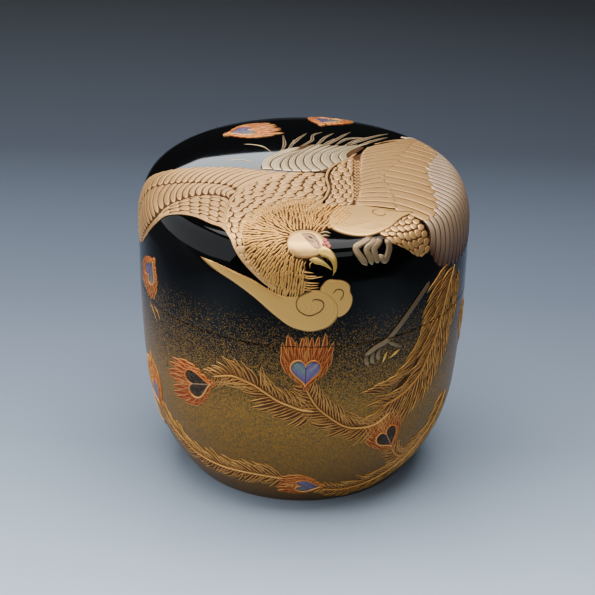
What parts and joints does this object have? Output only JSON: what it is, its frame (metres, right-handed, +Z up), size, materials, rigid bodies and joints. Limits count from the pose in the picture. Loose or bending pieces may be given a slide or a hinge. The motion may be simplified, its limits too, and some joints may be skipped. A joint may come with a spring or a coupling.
{
  "type": "tea caddy",
  "caption": "Round lacquered wooden tea caddy with a lift-off lid over a standing rim, decorated with a phoenix in raised gold work and shell inlay.",
  "frame": {"origin": "middle of the foot, on the plane it stands on", "axes": "+Z up along the turning axis; the side with the phoenix's head faces -Y"},
  "size_m": [0.0719, 0.0719, 0.0702],
  "materials": {
    "turned_wood": "bare turned wood, hidden under the lacquer",
    "black_lacquer": "polished black lacquer, dusted with gold powder towards the foot",
    "inner_lacquer": "polished black lacquer",
    "raised_gold": "raised lacquer covered with gold powder, satin",
    "flame_lacquer": "raised lacquer, orange red to gold",
    "shell_inlay": "thin iridescent shell, engraved",
    "red_lacquer": "red lacquer"
  },
  "bodies": {
    "caddy": {"body_core": "turned_wood", "body_lacquer": "black_lacquer", "base_lacquer": "black_lacquer", "body_lining": "inner_lacquer", "back_left_flames": "flame_lacquer", "back_left_heart": "shell_inlay", "back_left_vane": "raised_gold", "back_right_flames": "flame_lacquer", "back_right_heart": "shell_inlay", "back_right_vane": "raised_gold", "centre_flames": "flame_lacquer", "centre_heart": "shell_inlay", "centre_vane": "raised_gold", "far_left_flames": "flame_lacquer", "far_left_heart": "shell_inlay", "far_left_vane": "raised_gold", "hind_claw": "raised_gold", "hind_shank": "raised_gold", "left_flames": "flame_lacquer", "left_heart": "shell_inlay", "left_vane": "raised_gold", "lower_flames": "flame_lacquer", "lower_heart": "shell_inlay", "lower_vane": "raised_gold", "right_flames": "flame_lacquer", "right_heart": "shell_inlay", "right_vane": "raised_gold", "tail_trunk": "raised_gold"},
    "lid_seat": {"lid_lining": "inner_lacquer"},
    "lid": {"lid_core": "turned_wood", "lid_lacquer": "black_lacquer", "phoenix_head": "raised_gold", "phoenix_beak": "raised_gold", "phoenix_comb": "red_lacquer", "phoenix_thigh": "raised_gold", "phoenix_neck": "raised_gold", "left_wing_upper": "raised_gold", "left_wing_lower": "raised_gold", "right_scapulars": "raised_gold", "right_secondaries": "raised_gold", "right_primaries": "raised_gold", "wing_tips": "raised_gold", "back_plumes": "raised_gold", "phoenix_belly": "raised_gold", "front_foot": "raised_gold", "cloud": "raised_gold", "cloud_lobe": "raised_gold", "hind_leg": "raised_gold", "tail_root": "raised_gold", "centre_flame_tips": "flame_lacquer", "upper_left_heart": "shell_inlay", "upper_left_flames": "flame_lacquer", "back_left_top_heart": "shell_inlay", "back_left_top_flames": "flame_lacquer", "back_middle_top_heart": "shell_inlay", "back_middle_top_flames": "flame_lacquer"}
  },
  "joints": [
    {"name": "lid_lift", "type": "slide", "parent": "caddy", "child": "lid_seat", "axis": [0, 0, 1], "range_m": [0, 0.08]},
    {"name": "lid_turn", "type": "hinge", "parent": "lid_seat", "child": "lid", "pos_m": [0, 0, 0.055], "axis": [0, 0, 1], "continuous": true}
  ]
}
